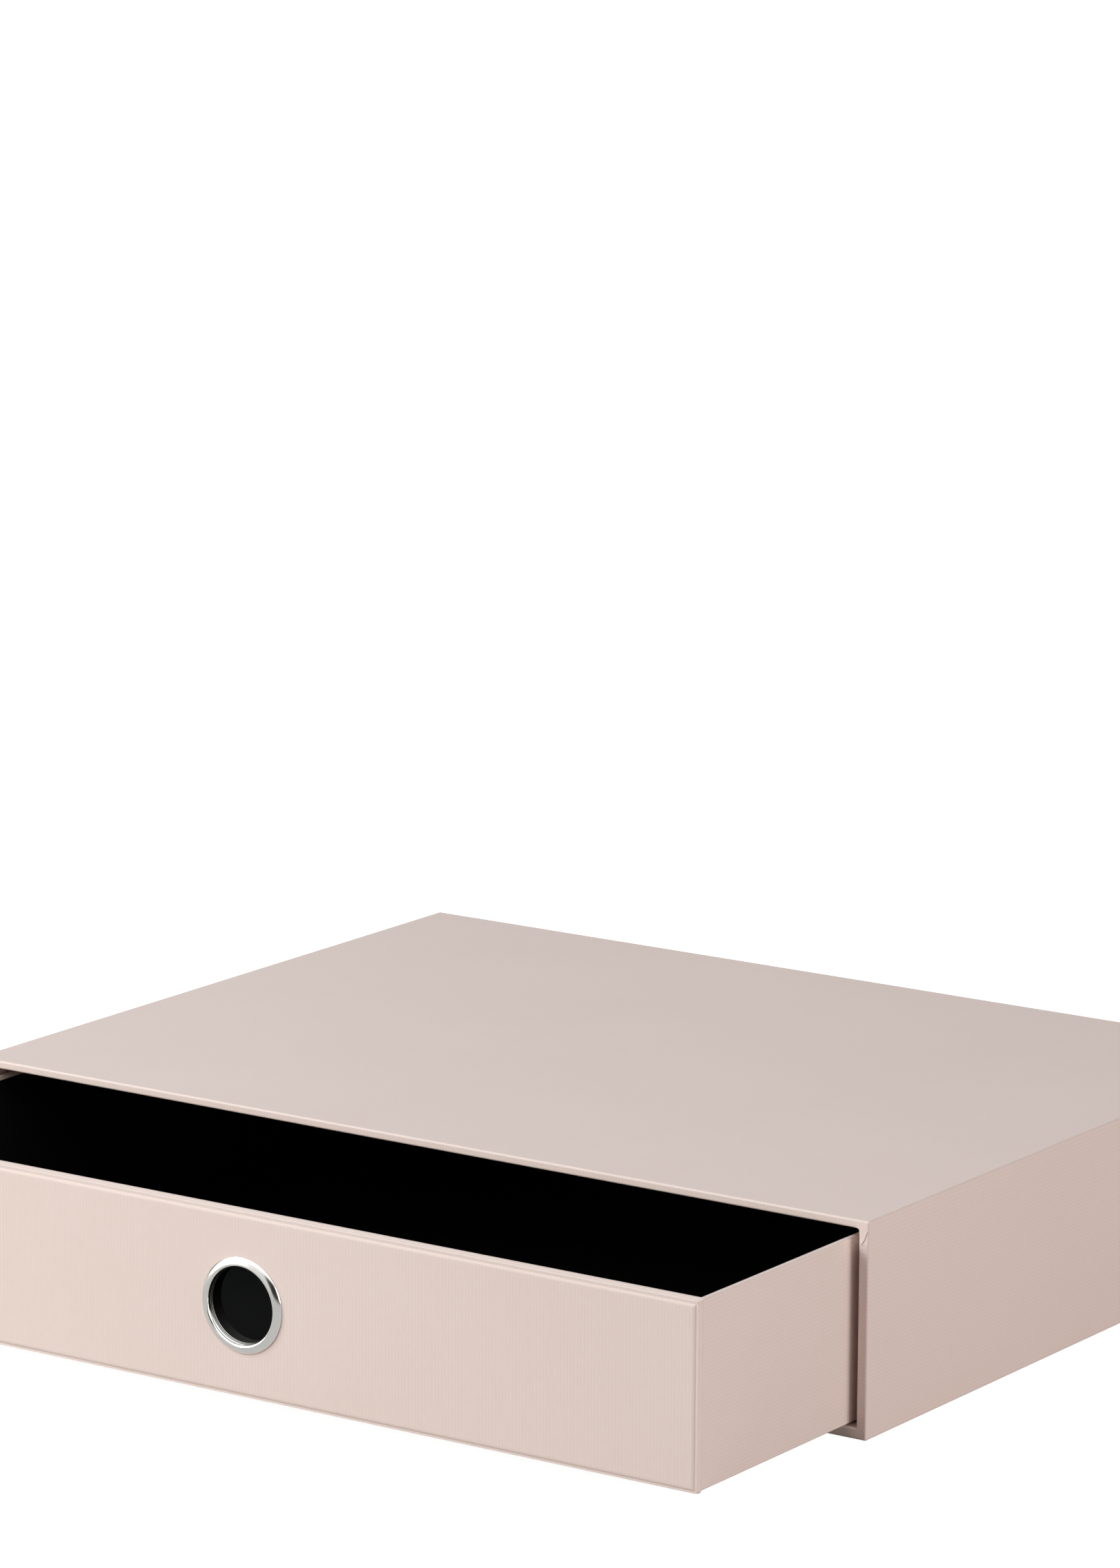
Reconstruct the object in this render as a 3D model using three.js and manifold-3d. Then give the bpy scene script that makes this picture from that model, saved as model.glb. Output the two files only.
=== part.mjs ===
import * as THREE from 'three';
import { RoundedBoxGeometry } from 'three/addons/geometries/RoundedBoxGeometry.js';
import { mergeVertices } from 'three/addons/utils/BufferGeometryUtils.js';
import Module from 'manifold-3d';

// A flat file box of paper-wrapped greyboard: a sleeve that is open at the front, and one
// drawer that slides out of it towards -Y, pulled by a metal finger ring in its front panel.
// Millimetres, +Z up, +X to the right as one faces the drawer. The origin is the middle of
// the sleeve's underside. An A4 sheet lies flat and sideways in the drawer.

// Sleeve
const sleeveWidth = 330;
const sleeveDepth = 250;
const sleeveHeight = 66;
const sleeveBoard = 2.8;
const sleeveEdgeRadius = 0.7;

// Papers: the ribbed one that wraps the boards, and the black one inside the drawer
const wrapPaper = 0.3;
const blackPaper = 0.3;
const mouthTurnIn = 18;
const backTurnOver = 12;
const coverMargin = 2.5;
const seamGap = 0.3;

// Corner tabs: the folded ends of the turn-in, which show on the mouth's side edges
const tabHeight = 6.2;
const tabThickness = 0.15;
const tabInset = 0.3;

// Drawer, and the room round it in the sleeve
const drawerOpening = 79.5;
const gapLeft = 1.6;
const gapRight = 2.6;
const gapOver = 2.5;
const gapUnder = 0.2;
const gapBehind = 0.6;
const trayBoard = 1.4;
const trayBaseSheet = 0.4;
const trayTurnUnder = 15;
const rimTurnIn = 1.2;
const trayEdgeRadius = 0.6;

// Front panel
const panelBoard = 1.9;
const panelProud = 0.3;
const panelGapUnder = 0.1;
const panelTurnIn = 12;
const panelEdgeRadius = 1;

// Finger ring: a rolled eyelet through the front, crimped over a washer inside
const ringBore = 23.3;
const ringDiameter = 29.3;
const ringMetal = 0.5;
const ringDome = 1.2;
const ringFit = 0.3;
const ringSeat = 0.1;
const washerDiameter = 28;
const washerThickness = 0.6;
const crimpWidth = 1.6;
const crimpDepth = 0.9;

// Fineness, and the overrun and tolerance of the cuts
const roundSteps = 3;
const ringSteps = 48;
const archSteps = 8;
const overrun = 2;
const planeTolerance = 0.001;

// A rounding stays under this share of the paper's thickness, so that paper is left over
// the sharp edge of the board beneath it
const roundingLimitShare = 2.4;

// Looks
const ribbedPaper = { color: 0xdccbc3, roughness: 0.72, metalness: 0 };
const greyboard = { color: 0xa9a39a, roughness: 0.95, metalness: 0 };
const blackLining = { color: 0x0d0c0c, roughness: 0.85, metalness: 0 };
const nickel = { color: 0xd8d4cf, roughness: 0.18, metalness: 1 };

const wasm = await Module();
wasm.setup();

// Rooms: the space of a box-like piece, as its low and high plane along x, y and z.
// A shrunk room has its left, right, front, back, under and over planes moved inwards.
function shrink(room, { left = 0, right = 0, front = 0, back = 0, under = 0, over = 0 }) {
  return {
    x: [room.x[0] + left, room.x[1] - right],
    y: [room.y[0] + front, room.y[1] - back],
    z: [room.z[0] + under, room.z[1] - over],
  };
}

const allRound = (by) => ({ left: by, right: by, front: by, back: by, under: by, over: by });
const upright = (by) => ({ left: by, right: by, front: by, back: by });
const lengths = (room) => [room.x, room.y, room.z].map(([low, high]) => high - low);

function toSolid(geometry) {
  return new wasm.Manifold(new wasm.Mesh({
    numProp: 3,
    vertProperties: Float32Array.from(geometry.getAttribute('position').array),
    triVerts: Uint32Array.from(geometry.index.array),
  }));
}

function toGeometry(solid) {
  const mesh = solid.getMesh();
  const geometry = new THREE.BufferGeometry();
  geometry.setAttribute('position', new THREE.BufferAttribute(mesh.vertProperties, 3));
  geometry.setIndex(new THREE.BufferAttribute(mesh.triVerts, 1));
  geometry.computeVertexNormals();
  return geometry;
}

function weld(geometry) {
  geometry.deleteAttribute('normal');
  geometry.deleteAttribute('uv');
  return mergeVertices(geometry);
}

// A centred box is laid in its room with every outer plane set to the room's own number,
// so that two pieces which share a plane touch there exactly.
function layIn(room, centred) {
  const geometry = weld(centred);
  const places = geometry.getAttribute('position');
  [room.x, room.y, room.z].forEach(([low, high], axis) => {
    const half = (high - low) / 2;
    const middle = (high + low) / 2;
    for (let index = 0; index < places.count; index += 1) {
      const value = places.getComponent(index, axis);
      const outer = value > 0 ? high : low;
      const isOuter = Math.abs(value) > half - planeTolerance;
      places.setComponent(index, axis, isOuter ? outer : middle + value);
    }
  });
  return toSolid(geometry);
}

const block = (room) => layIn(room, new THREE.BoxGeometry(...lengths(room)));

function roundBlock(room, radius) {
  return layIn(room, new RoundedBoxGeometry(...lengths(room), roundSteps, radius));
}

function piece(name, shape, look) {
  const geometry = shape.isBufferGeometry ? shape : toGeometry(shape);
  const mesh = new THREE.Mesh(geometry, new THREE.MeshStandardMaterial(look));
  mesh.name = name;
  return mesh;
}

// Sleeve rooms: a cover sheet lies under the wrap and another on its back. The free inside
// of the sleeve is open at the mouth, where y is lowest.
const sleeve = {
  x: [-sleeveWidth / 2, sleeveWidth / 2],
  y: [-sleeveDepth / 2, sleeveDepth / 2],
  z: [0, sleeveHeight],
};
const wrapRoom = shrink(sleeve, { back: wrapPaper, under: wrapPaper });
const boardRoom = shrink(wrapRoom, allRound(wrapPaper));
const boardInside = shrink(boardRoom, { ...allRound(sleeveBoard), front: 0 });
const cavity = shrink(boardInside, { ...allRound(wrapPaper), front: 0 });
const mouth = wrapRoom.y[0];
const turnInEnd = mouth + mouthTurnIn;
const sleeveRounding = Math.min(sleeveEdgeRadius, wrapPaper * roundingLimitShare);

function sleeveBoards() {
  const { x, y, z } = boardInside;
  return {
    sleeve_top_board: { ...boardRoom, z: [z[1], boardRoom.z[1]] },
    sleeve_bottom_board: { ...boardRoom, z: [boardRoom.z[0], z[0]] },
    sleeve_left_board: { ...boardRoom, x: [boardRoom.x[0], x[0]], z },
    sleeve_right_board: { ...boardRoom, x: [x[1], boardRoom.x[1]], z },
    sleeve_back_board: { x, y: [y[1], boardRoom.y[1]], z },
  };
}

// The opening that the turned-over wrap leaves on the back
const backWindow = {
  x: [wrapRoom.x[0] + backTurnOver, wrapRoom.x[1] - backTurnOver],
  y: [boardRoom.y[1], wrapRoom.y[1]],
  z: [wrapRoom.z[0] + backTurnOver, wrapRoom.z[1] - backTurnOver],
};

// A corner tab: the flap folded from the turn-in over a side edge of the mouth, ending in a
// point. side is -1 at the left and 1 at the right, end is -1 at the bottom and 1 on top.
function cornerTab(side, end) {
  const inner = side * (cavity.x[1] + tabInset);
  const outer = side * (wrapRoom.x[1] - sleeveRounding);
  const fold = end > 0 ? wrapRoom.z[1] - sleeveRounding : wrapRoom.z[0] + sleeveRounding;
  const outline = new THREE.Shape([
    new THREE.Vector2(inner, fold),
    new THREE.Vector2(outer, fold),
    new THREE.Vector2((inner + outer) / 2, fold - end * tabHeight),
  ]);
  const rooted = wrapPaper / 2;
  const depth = tabThickness + rooted;
  const flap = new THREE.ExtrudeGeometry(outline, { depth, bevelEnabled: false });
  flap.rotateX(Math.PI / 2);
  flap.translate(0, mouth + rooted, 0);
  return toSolid(weld(flap));
}

// The wrap goes round all four sides, in at the mouth and over the back's edges
function sleeveWrap() {
  const turnIn = { ...boardInside, y: [mouth - overrun, turnInEnd] };
  const boards = block(boardRoom).subtract(block(turnIn));
  const opening = { ...cavity, y: [mouth - overrun, turnInEnd + overrun] };
  const window = shrink(backWindow, { front: -wrapPaper, back: -overrun });
  let wrap = roundBlock(wrapRoom, sleeveRounding)
    .subtract(boards)
    .subtract(block(opening))
    .subtract(block(window));
  for (const side of [-1, 1]) {
    for (const end of [-1, 1]) {
      wrap = wrap.add(cornerTab(side, end));
    }
  }
  return wrap;
}

function sleeveLining() {
  const outside = { ...boardInside, y: [turnInEnd, boardInside.y[1]] };
  const inside = shrink({ ...outside, x: cavity.x, z: cavity.z }, { front: -overrun, back: -overrun });
  return block(outside).subtract(block(inside));
}

// The sheet on the back lies on the turned-over wrap and goes down to the board between
function sleeveBackSheet() {
  const margins = { left: coverMargin, right: coverMargin, under: coverMargin, over: coverMargin };
  const sheet = shrink({ ...wrapRoom, y: [wrapRoom.y[1], sleeve.y[1]] }, margins);
  const middle = shrink(backWindow, { ...allRound(seamGap), front: 0, back: -wrapPaper });
  return block(sheet).add(block(middle));
}

function buildSleeve() {
  const group = new THREE.Group();
  for (const [name, room] of Object.entries(sleeveBoards())) {
    group.add(piece(name, block(room), greyboard));
  }
  const underSheet = shrink({ ...wrapRoom, z: [0, wrapRoom.z[0]] }, upright(coverMargin));
  const backLining = { ...cavity, y: [cavity.y[1], boardInside.y[1]] };
  group.add(
    piece('sleeve_wrap', sleeveWrap(), ribbedPaper),
    piece('sleeve_lining', sleeveLining(), ribbedPaper),
    piece('sleeve_back_lining', block(backLining), ribbedPaper),
    piece('sleeve_back_sheet', sleeveBackSheet(), ribbedPaper),
    piece('sleeve_base_sheet', block(underSheet), ribbedPaper),
  );
  return group;
}

// Drawer rooms, measured from the middle of the front panel's face, at the level of the
// tray's underside. Closed, the panel's face is level with the mouth.
const panelWidth = cavity.x[1] - cavity.x[0] - gapLeft - gapRight;
const drawerMiddle = (gapLeft - gapRight) / 2;
const drawerTop = cavity.z[1] - cavity.z[0] - gapOver - gapUnder;
const drawerDepth = cavity.y[1] - mouth - gapBehind;
const panelThickness = panelBoard + 2 * wrapPaper;
const panelRoom = {
  x: [-panelWidth / 2, panelWidth / 2],
  y: [0, panelThickness],
  z: [panelGapUnder - gapUnder, drawerTop],
};
const trayRoom = {
  x: [panelRoom.x[0] + panelProud, panelRoom.x[1] - panelProud],
  y: [panelThickness, drawerDepth],
  z: [trayBaseSheet, drawerTop],
};
const trayBoardRoom = shrink(trayRoom, allRound(wrapPaper));
const trayInside = shrink(trayBoardRoom, { ...allRound(trayBoard), over: 0 });
const trayHollow = shrink(trayInside, { ...allRound(blackPaper), over: 0 });
const rimInside = shrink(trayInside, upright(wrapPaper));
const liningTop = trayRoom.z[1] - rimTurnIn;
const trayRounding = Math.min(trayEdgeRadius, wrapPaper * roundingLimitShare);

// Finger ring places: its middle is the middle of the front panel
const boreRadius = ringBore / 2;
const barrelRadius = boreRadius + ringMetal;
const holeRadius = barrelRadius + ringFit;
const ringHeight = (panelRoom.z[0] + panelRoom.z[1]) / 2;
const washerFront = trayHollow.y[0];
const washerBack = washerFront + washerThickness;

function ringHole() {
  const length = washerBack + 2 * overrun;
  const bore = new THREE.CylinderGeometry(holeRadius, holeRadius, length, ringSteps);
  bore.translate(0, length / 2 - overrun, ringHeight);
  return toSolid(weld(bore));
}

function trayBoards() {
  const { x, y } = trayInside;
  const z = [trayInside.z[0], trayBoardRoom.z[1]];
  return {
    drawer_floor_board: { ...trayBoardRoom, z: [trayBoardRoom.z[0], z[0]] },
    drawer_left_board: { ...trayBoardRoom, x: [trayBoardRoom.x[0], x[0]], z },
    drawer_right_board: { ...trayBoardRoom, x: [x[1], trayBoardRoom.x[1]], z },
    drawer_back_board: { x, y: [y[1], trayBoardRoom.y[1]], z },
  };
}

// The opening that the turned-under wrap leaves beneath the tray
const baseWindow = {
  ...shrink(trayRoom, upright(trayTurnUnder)),
  z: [trayRoom.z[0], trayBoardRoom.z[0]],
};

// The wrap goes round the tray, over its rim and under its floor's edges
function trayWrap() {
  const turnIn = { ...trayInside, z: [liningTop, trayRoom.z[1] + overrun] };
  const boards = block(trayBoardRoom).subtract(block(turnIn));
  const opening = { ...rimInside, z: [liningTop - overrun, trayRoom.z[1] + overrun] };
  const window = shrink(baseWindow, { under: -overrun, over: -wrapPaper });
  return roundBlock(trayRoom, trayRounding)
    .subtract(boards)
    .subtract(block(opening))
    .subtract(block(window))
    .subtract(ringHole());
}

function wallLining() {
  const outside = { ...trayInside, z: [trayInside.z[0], liningTop] };
  const inside = shrink({ ...outside, x: trayHollow.x, y: trayHollow.y }, { under: -overrun, over: -overrun });
  return block(outside).subtract(block(inside)).subtract(ringHole());
}

function trayBaseCover() {
  const sheet = shrink({ ...trayRoom, z: [0, trayRoom.z[0]] }, upright(coverMargin));
  const middle = shrink(baseWindow, { ...upright(seamGap), under: -trayBaseSheet });
  return block(sheet).add(block(middle));
}

// The panel's wrap is turned in on its back, where the panel is glued to the tray
function panelWrap() {
  const insideRadius = Math.max(panelEdgeRadius - wrapPaper, wrapPaper / 2);
  const inside = roundBlock(shrink(panelRoom, allRound(wrapPaper)), insideRadius);
  const margins = { left: panelTurnIn, right: panelTurnIn, under: panelTurnIn, over: panelTurnIn };
  const backSkin = { ...panelRoom, y: [panelRoom.y[1] - 2 * wrapPaper, panelRoom.y[1] + overrun] };
  return roundBlock(panelRoom, panelEdgeRadius)
    .subtract(inside)
    .subtract(block(shrink(backSkin, margins)))
    .subtract(ringHole());
}

// Points of a half ellipse over a foot of the given width, from its outer to its inner end.
// rise is positive towards +Y.
function arch(middle, width, base, rise) {
  return Array.from({ length: archSteps + 1 }, (_, step) => {
    const angle = Math.PI * step / archSteps;
    return new THREE.Vector2(middle + Math.cos(angle) * width / 2, base + Math.sin(angle) * rise);
  });
}

// The profile runs in at the front and out at the back, so it is reversed to face outwards
function lathe(profile) {
  const closed = [...profile, profile[0]].reverse();
  return weld(new THREE.LatheGeometry(closed, ringSteps));
}

// The eyelet's section: a domed flange on the panel, a barrel through the front and an end
// rolled over the washer, all of one thin sheet that is open towards the panel
function fingerRing() {
  const flangeWidth = ringDiameter / 2 - boreRadius;
  const flangeMiddle = boreRadius + flangeWidth / 2;
  const flangeFoot = -ringSeat;
  const crimpOuter = crimpWidth + ringMetal;
  const crimpMiddle = boreRadius + crimpOuter / 2;
  const crimpFoot = washerBack + ringSeat;
  const twoMetals = 2 * ringMetal;
  return lathe([
    ...arch(flangeMiddle, flangeWidth, flangeFoot, -ringDome),
    ...arch(crimpMiddle, crimpOuter, crimpFoot, crimpDepth).reverse(),
    ...arch(crimpMiddle, crimpOuter - twoMetals, crimpFoot, crimpDepth - ringMetal),
    ...arch(flangeMiddle, flangeWidth - twoMetals, flangeFoot, ringMetal - ringDome).reverse(),
  ]);
}

function ringWasher() {
  const outer = washerDiameter / 2;
  return lathe([
    new THREE.Vector2(outer, washerFront),
    new THREE.Vector2(holeRadius, washerFront),
    new THREE.Vector2(holeRadius, washerBack),
    new THREE.Vector2(outer, washerBack),
  ]);
}

function buildDrawer() {
  const group = new THREE.Group();
  group.position.set(drawerMiddle, mouth - drawerOpening, cavity.z[0] + gapUnder);
  for (const [name, room] of Object.entries(trayBoards())) {
    group.add(piece(name, block(room), greyboard));
  }
  const frontBoard = {
    x: trayInside.x,
    y: [trayBoardRoom.y[0], trayInside.y[0]],
    z: [trayInside.z[0], trayBoardRoom.z[1]],
  };
  const panel = roundBlock(shrink(panelRoom, allRound(wrapPaper)), panelEdgeRadius);
  const floorLining = { ...trayHollow, z: [trayInside.z[0], trayHollow.z[0]] };
  group.add(
    piece('drawer_front_board', block(frontBoard).subtract(ringHole()), greyboard),
    piece('drawer_wrap', trayWrap(), ribbedPaper),
    piece('drawer_base_sheet', trayBaseCover(), ribbedPaper),
    piece('drawer_wall_lining', wallLining(), blackLining),
    piece('drawer_floor_lining', block(floorLining), blackLining),
    piece('panel_board', panel.subtract(ringHole()), greyboard),
    piece('panel_wrap', panelWrap(), ribbedPaper),
  );
  for (const metal of [piece('finger_ring', fingerRing(), nickel), piece('ring_washer', ringWasher(), nickel)]) {
    metal.position.z = ringHeight;
    group.add(metal);
  }
  return group;
}

const fileBox = new THREE.Group();
fileBox.add(buildSleeve(), buildDrawer());

export default fileBox;
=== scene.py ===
import math
import bmesh
import bpy
from mathutils import Euler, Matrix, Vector, noise


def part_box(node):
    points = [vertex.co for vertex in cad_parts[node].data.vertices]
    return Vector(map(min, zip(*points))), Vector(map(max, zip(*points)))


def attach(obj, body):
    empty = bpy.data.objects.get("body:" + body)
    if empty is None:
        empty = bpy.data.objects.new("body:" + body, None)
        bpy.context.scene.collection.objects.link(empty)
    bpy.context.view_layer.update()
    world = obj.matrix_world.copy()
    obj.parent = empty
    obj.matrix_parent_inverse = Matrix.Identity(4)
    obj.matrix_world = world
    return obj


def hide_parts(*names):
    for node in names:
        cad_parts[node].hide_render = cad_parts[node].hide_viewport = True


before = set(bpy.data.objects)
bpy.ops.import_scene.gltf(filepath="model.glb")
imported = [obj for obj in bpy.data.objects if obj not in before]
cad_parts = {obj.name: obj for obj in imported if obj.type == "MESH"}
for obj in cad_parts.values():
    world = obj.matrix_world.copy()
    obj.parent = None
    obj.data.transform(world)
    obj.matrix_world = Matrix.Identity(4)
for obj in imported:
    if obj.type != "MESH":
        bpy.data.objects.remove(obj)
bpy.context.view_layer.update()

# A paper-wrapped file box: a sleeve that is open at the front and a drawer with a finger ring.
# Lengths are in millimetres up to the mesh or light that they go into. X, Y and Z are the
# places of a coordinate in a point.
MM = 0.001
X, Y, Z = 0, 1, 2

# The camera that was fitted to the photograph's edges
CAMERA_PLACE_M = (1.145654, -1.708708, 0.586378)
CAMERA_TURN_DEG = (78.08955, -0.28909, 34.57466)
CAMERA_LENS = 154.3564

# Sheets of paper
PAPER = 0.3
RIB_PITCH = 1.176
SHEET_MAP = "sheet"
FOLD = "fold"
# The attribute that marks where shade is painted on the ring's nickel
PAINTED_SHADE = "dark"

# Meshing of a swept sheet: the points of an arc, the points close to its ends, and the rest
ARC_STEPS = 7
GUARD = 0.12
SPACING = 8.0
LEAST_RADIUS = 0.06
UNEVENNESS = 0.03
UNEVEN_LENGTH = 42.0
UNEVEN_SEED = 5
SHARP_DEG = 40

# The sleeve's paper and its top board, which is thinned from below at the mouth
SLEEVE_EDGE = 0.65
SLEEVE_INNER_EDGE = 0.55
INNER_CORNER = 0.3
TURN_IN = 18.0
BACK_TURN_OVER = 12.0
SLEEVE_COUNTS = (42, 8)
TOP_THINNING = 0.9
THINNING_POWER = 1.5
THINNED_FROM = 56.0
TOP_BOARD_STEPS = 24

# The drawer's paper
TRAY_EDGE = 0.6
RIM_INNER_EDGE = 0.45
TRAY_TURN_UNDER = 15.0
TRAY_COUNTS = (40, 30)

# The front panel's paper and the seam behind it
PANEL_EDGE = 2.0
PANEL_BACK_EDGE = 0.12
PANEL_CORNER = 0.9
PANEL_TURN_IN = 12.0
PANEL_CAP_INSET = 8.0
PANEL_COUNTS = (40, 8)
SEAM_GAP = 0.2

# The hole that the finger ring goes through
HOLE_RADIUS = 12.45
HOLE_REACH = 6.0
HOLE_SEGMENTS = 96


def box_mm(node):
    """The low and high corner of a CAD node, in millimetres."""
    low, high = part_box(node)
    return Vector(low) / MM, Vector(high) / MM


def add_object(name, data):
    thing = bpy.data.objects.new(name, data)
    bpy.context.scene.collection.objects.link(thing)
    return thing


def make_camera():
    data = bpy.data.cameras.new("photo_camera")
    data.lens = CAMERA_LENS
    data.clip_start = 0.05
    data.clip_end = 50
    camera = add_object("photo_camera", data)
    camera.location = CAMERA_PLACE_M
    camera.rotation_euler = Euler([math.radians(turn) for turn in CAMERA_TURN_DEG])
    bpy.context.scene.camera = camera
    bpy.context.scene.view_settings.view_transform = "Standard"


class Nodes:
    """A short way to write a node tree: each call adds a node and gives its output."""

    def __init__(self, tree):
        self.tree = tree
        tree.nodes.clear()

    def put(self, kind, _out=0, _set=None, **inputs):
        node = self.tree.nodes.new(kind)
        for key, value in (_set or {}).items():
            setattr(node, key, value)
        for key, value in inputs.items():
            self.feed(node, key, value)
        return node.outputs[_out] if node.outputs else node

    def feed(self, node, key, value):
        """Sets or links an input, by its name or, written as i0, i1 and so on, by its number."""
        key = key.replace("_", " ")
        by_number = key[0] == "i" and key[1:].isdigit()
        socket = node.inputs[int(key[1:]) if by_number else key]
        if isinstance(value, bpy.types.NodeSocket):
            self.tree.links.new(value, socket)
        else:
            socket.default_value = value

    def math(self, operation, first, second=0.0):
        return self.put("ShaderNodeMath", _set={"operation": operation}, i0=first, i1=second)

    def times(self, first, second):
        return self.math("MULTIPLY", first, second)

    def plus(self, first, second):
        return self.math("ADD", first, second)

    def spread(self, value, low, high):
        """A value of 0 to 1 as one of low to high."""
        return self.put("ShaderNodeMapRange", Value=value, To_Min=low, To_Max=high)

    def step(self, value, low, high):
        """0 below low, 1 above high, and smooth between them."""
        how = {"interpolation_type": "SMOOTHSTEP"}
        return self.put("ShaderNodeMapRange", _set=how, Value=value, From_Min=low, From_Max=high)

    def noise(self, vector, scale, detail=2.0, roughness=0.5):
        """Noise from 0 to 1. The scale is per metre."""
        facts = {"Scale": scale, "Detail": detail, "Roughness": roughness}
        return self.put("ShaderNodeTexNoise", Vector=vector, **facts)

    def stretched(self, vector, scales):
        return self.put("ShaderNodeMapping", Vector=vector, Scale=scales)

    def toward(self, way, aim):
        """The cosine of the angle between a direction and an aim."""
        how = {"operation": "DOT_PRODUCT"}
        aim = Vector(aim).normalized()
        return self.put("ShaderNodeVectorMath", _out=1, _set=how, i0=way, i1=aim)

    def parts(self, vector):
        node = self.tree.nodes.new("ShaderNodeSeparateXYZ")
        self.tree.links.new(vector, node.inputs[0])
        return node.outputs

    def tint(self, factor, first, second):
        """A colour between two, by a factor of 0 to 1."""
        node = self.tree.nodes.new("ShaderNodeMix")
        node.data_type = "RGBA"
        self.feed(node, "i0", factor)
        self.feed(node, "i6", first)
        self.feed(node, "i7", second)
        return node.outputs[2]


def new_material(name):
    material = bpy.data.materials.new(name)
    material.use_nodes = True
    return material, Nodes(material.node_tree)


def finish_material(nodes, colour, rough, relief, **inputs):
    facts = {"Base_Color": colour, "Roughness": rough, "Normal": relief, **inputs}
    shader = nodes.put("ShaderNodeBsdfPrincipled", **facts)
    nodes.put("ShaderNodeOutputMaterial", Surface=shader)


# Ribbed paper: its colours, its finish, its relief and what each layer adds to its tone
PAPER_LIGHT = (0.786, 0.644, 0.596, 1)
PAPER_DARK = (0.742, 0.595, 0.542, 1)
PAPER_WORN = (0.800, 0.673, 0.628, 1)
PAPER_ROUGHNESS = (0.70, 0.86)
PAPER_SPECULAR = 0.3
RIB_DEPTH = 0.016
RIB_DRIFT = 0.35
RIB_STRENGTH = (0.55, 1.0)
RIB_AT_FOLD = 0.6
FIBRE_DEPTH = 0.006
WEAR = (0.1, 0.6)
CLOUD_TONE = 0.35
MOTTLE_TONE = 0.25
RIB_TONE = 0.26
FIBRE_TONE = 0.14
TONE_ENDS = (0.2, 0.8)

# How fine the paper's noises are, per metre
DRIFT_SCALE = 60.0
STRENGTH_SCALE = 130.0
CLOUD_SCALE = 16.0
MOTTLE_SCALE = 420.0
FIBRE_SCALE = 2600.0
WEAR_SCALE = 300.0

# The other materials: the two ends of each colour, the finish, the relief and the noises
BLACK_PAPER = ((0.0026, 0.0024, 0.0024, 1), (0.0048, 0.0045, 0.0045, 1))
BLACK_PAPER_ROUGHNESS = (0.86, 0.96)
BLACK_PAPER_SPECULAR = 0.08
BLACK_PAPER_DEPTH = 0.01
BLACK_GRAIN_SCALE = 1800.0
BLACK_CLOUD_SCALE = 30.0
GREYBOARD = ((0.30, 0.285, 0.255, 1), (0.47, 0.45, 0.41, 1))
GREYBOARD_ROUGHNESS = (0.88, 0.98)
GREYBOARD_SPECULAR = 0.2
GREYBOARD_DEPTH = 0.03
PULP_SCALE = 900.0
FLECK = (0.16, 0.15, 0.14, 1)
FLECK_SCALE = 2400.0
FLECK_ENDS = (0.66, 0.72)
NICKEL = ((0.80, 0.785, 0.745, 1), (0.88, 0.87, 0.84, 1))
# The near-black that is painted as shade on the ring's barrel, roll and lip grooves
NICKEL_PAINTED_SHADE = (0.010, 0.0095, 0.009, 1)
NICKEL_ROUGHNESS = (0.12, 0.22)
# The roughness that is added where that shade is painted
PAINTED_SHADE_ROUGHNESS = 0.35
HAZE_SCALE = 220.0
HAIRLINE_SCALE = 4200.0
HAIRLINE_DEPTH = 0.0008


def rib_place(nodes, from_map):
    """The place across the ribs in metres, and the place on the sheet."""
    if from_map:
        place = nodes.put("ShaderNodeUVMap", _set={"uv_map": SHEET_MAP})
        return nodes.parts(place)[X], place
    place = nodes.put("ShaderNodeTexCoord", _out=3)
    facing = nodes.parts(nodes.put("ShaderNodeNewGeometry", _out=1))[X]
    upright = nodes.math("GREATER_THAN", nodes.math("ABSOLUTE", facing), 0.7)
    across = nodes.parts(place)
    level = nodes.math("SUBTRACT", 1.0, upright)
    return nodes.plus(nodes.times(across[X], level), nodes.times(across[Z], upright)), place


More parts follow.
